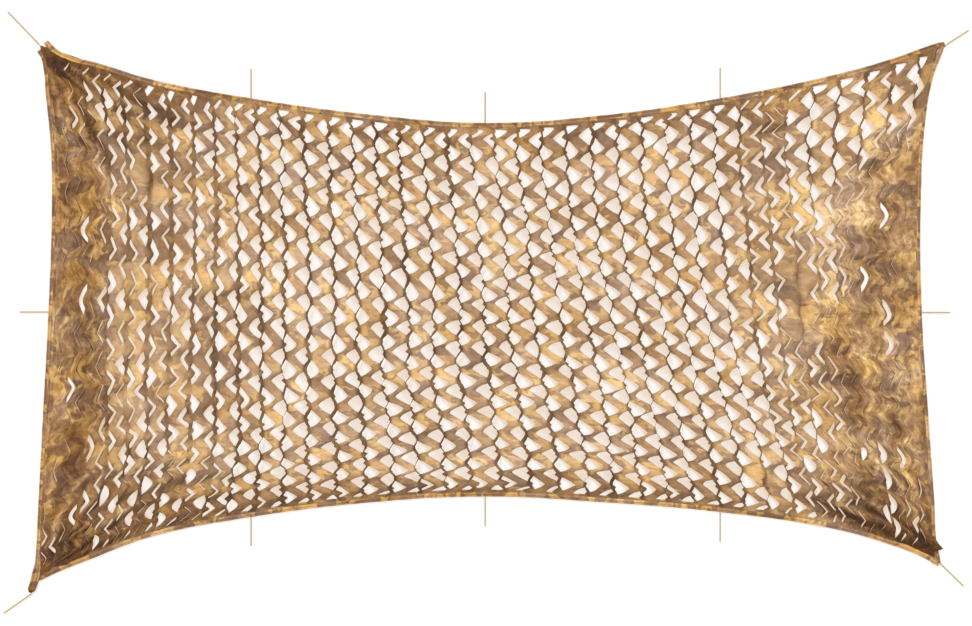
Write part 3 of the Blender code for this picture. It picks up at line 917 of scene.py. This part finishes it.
def bindingTree():
    tree, given = startTree("foldedBinding", strip)
    fine = outputOf(
        tree, "GeometryNodeResampleCurve", {"mode": "LENGTH"}, Curve=given["Geometry"], Length=0.006
    )
    level = outputOf(tree, "GeometryNodeSetCurveNormal", {"mode": "Z_UP"}, Curve=fine)
    rail = store(tree, level, "along", outputOf(tree, "GeometryNodeSplineParameter", take="Length"))
    profile = stripProfile(tree)
    tube = outputOf(tree, "GeometryNodeCurveToMesh", Curve=rail, Profile_Curve=profile, Fill_Caps=True)

    along, out = recall(tree, "along"), recall(tree, "out")
    settings = {"mode": "LENGTH", "data_type": "FLOAT"}
    centre = outputOf(tree, "GeometryNodeSampleCurve", settings, "Position", Curves=level, Length=along)
    offset = position(tree).vector("SUBTRACT", centre)
    fromEnd = outputOf(tree, "GeometryNodeCurveLength", Curve=given["Geometry"]) - along
    rolled = (given["Rolled End"] - fromEnd).ramp(-0.04, 0.04) * given["Rolled End"].over(0.001)
    firstEnd = blend(given["Narrow End"], 1.0, (along / given["Taper"]).ramp(0.0, 1.0))
    lastEnd = blend(given["Narrow End"], 1.0, (fromEnd / given["Taper"]).ramp(0.0, 1.0).most(rolled))
    broad = given["Half Width"] * (firstEnd * lastEnd) * (1.0 + wobble(tree, along * 16.0, 0.0, 2.2) * 0.07)
    broad = broad * (1.0 + rolled * 0.5) * blend(1.0, (fromEnd / 0.014).ramp(-0.6, 1.0), rolled)
    puffed = 1.0 + wobble(tree, along * 22.0, out * 1.5, 4.4) * 0.22
    tall = given["Thickness"] * puffed * (1.0 + rolled * 2.2)
    lift = joined(tree, 0.0, 0.0, parted(tree, offset)[2] * tall + 0.0002)
    side = offset.vector("MULTIPLY", (1.0, 1.0, 0.0)).scaled(broad)
    placed = centre.vector("ADD", side).vector("ADD", lift)
    cloth = outputOf(tree, "GeometryNodeSetPosition", Geometry=tube, Position=placed)

    uv = joined(tree, along, out * given["Half Width"] * 0.6)
    cloth = store(tree, cloth, "stripUv", uv, "FLOAT2", "CORNER")
    # painted shade in the strip's two fold grooves and along its sides, painted shadow in the rolled end's
    # opening, and the whole rolled part darker; soft is random tone
    grooveShade = (out - 0.42).size().under(0.12) + (out + 0.42).size().under(0.12)
    soft = wobble(tree, along * 7.0, out * 0.6, 6.1) * 0.12
    rolledDarkAndShadow = ((fromEnd / 0.02).ramp(1.0, 0.3) * out.size().ramp(0.9, 0.4) * 0.6 + 0.18) * rolled
    shade = (stripShade + soft - grooveShade * 0.36 - out.size().over(0.9) * 0.2) * (1.0 - rolledDarkAndShadow)
    cloth = store(tree, store(tree, cloth, "shade", shade), "thin", 0.22)
    return endTree(tree, outputOf(tree, "GeometryNodeSetShadeSmooth", Geometry=cloth), given["Material"])


def stitchTree():  # a running stitch laid on a strip along its rail
    tree, given = startTree("runningStitch", {**stitch, "Cloth": None})
    strips = outputOf(tree, "GeometryNodeObjectInfo", take="Geometry", Object=given["Cloth"])
    rail = outputOf(tree, "GeometryNodeSetCurveNormal", {"mode": "Z_UP"}, Curve=given["Geometry"])
    spots = addNode(tree, "GeometryNodeCurveToPoints", {"mode": "LENGTH"}, Curve=rail, Length=given["Pitch"])
    points, normal, rotation = (wire(tree, spots.outputs[name]) for name in ("Points", "Normal", "Rotation"))
    inwards = normal.scaled(given["From Middle"] * -1.0)
    beside = outputOf(tree, "GeometryNodeSetPosition", Geometry=points, Offset=inwards)
    above = position(tree).vector("ADD", (0.0, 0.0, 0.2))
    down = addNode(
        tree, "GeometryNodeRaycast", Target_Geometry=strips, Source_Position=above,
        Ray_Direction=joined(tree, 0.0, 0.0, -1.0), Ray_Length=1.0,
    )
    hit, missed = wire(tree, down.outputs["Hit Position"]), 1.0 - wire(tree, down.outputs["Is Hit"])
    laid = outputOf(tree, "GeometryNodeSetPosition", Geometry=beside, Position=hit)
    kept = outputOf(tree, "GeometryNodeDeleteGeometry", {"domain": "POINT"}, Geometry=laid, Selection=missed)
    bead = outputOf(tree, "GeometryNodeMeshUVSphere", Segments=6, Rings=4, Radius=0.5)
    long = joined(tree, given["Thread"] * 0.75, given["Thread"], given["Stitch Length"])
    sewn = outputOf(
        tree, "GeometryNodeInstanceOnPoints", Points=kept, Instance=bead, Rotation=rotation, Scale=long
    )
    return endTree(tree, sewn, given["Material"])


thread = twineMaterial("tanThread", threadLook)
stitchNodes, bindingNodes = stitchTree(), bindingTree()
for name, rim, first, last, half, rolled in bindings:
    rail = curveThrough(name + "Rail", [railBeside(rim, first, last, half)])
    sizes = {**strip, "Half Width": half, "Rolled End": rolled, "Material": bindingCloth}
    piece = runTree(bindingNodes, rail, sizes, name + "Strip")
    seam = runTree(stitchNodes, rail, {**stitch, "Cloth": piece, "Material": thread}, name + "Stitches")
    bpy.data.objects.remove(rail)
    for layer in ("along", "out"):
        piece.data.attributes.remove(piece.data.attributes[layer])
    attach(seam, "root")
    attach(piece, "root")
    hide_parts(name)
print("bindings folded")


# Floor and light. The floor glows a little warmer under the net and is plain white in the open.
studio = {
    "half floor": 30.0,
    "floor height": -0.001,
    "floor": (0.216, 0.34, 0.46, 1.0),
    "glow": (1.0, 0.69, 0.41, 1.0),
    "glow strength": 0.68,
    "sky": 1.38,
    "lamp": 2.9,
    "lamp softness": 0.35,
    "lamp direction": (0.35, -1.0, -0.66),
}
floor = bpy.data.objects.new("floor", bpy.data.meshes.new("floor"))
bpy.context.scene.collection.objects.link(floor)
sheet = bmesh.new()
for x, y in ((-1, -1), (1, -1), (1, 1), (-1, 1)):
    sheet.verts.new((x * studio["half floor"], y * studio["half floor"], studio["floor height"]))
sheet.faces.new(sheet.verts)
sheet.to_mesh(floor.data)
sheet.free()
white, _, whiteShader = newMaterial("studioWhite", 0.9)
whiteShader.inputs["Base Color"].default_value = studio["floor"]
whiteShader.inputs["Emission Color"].default_value = studio["glow"]
whiteShader.inputs["Emission Strength"].default_value = studio["glow strength"]
floor.data.materials.append(white)

world = bpy.data.worlds.new("studio")
bpy.context.scene.world = world
world.use_nodes = True
background = world.node_tree.nodes["Background"]
background.inputs["Color"].default_value = (1.0, 1.0, 1.0, 1.0)
background.inputs["Strength"].default_value = studio["sky"]

lamp = bpy.data.lights.new("windowLight", "SUN")
lamp.energy, lamp.angle = studio["lamp"], studio["lamp softness"]
window = bpy.data.objects.new("windowLight", lamp)
bpy.context.scene.collection.objects.link(window)
window.rotation_mode = "QUATERNION"
window.rotation_quaternion = Vector(studio["lamp direction"]).to_track_quat("-Z", "Y")
bpy.context.scene.view_settings.view_transform = "Standard"
print("lights set")
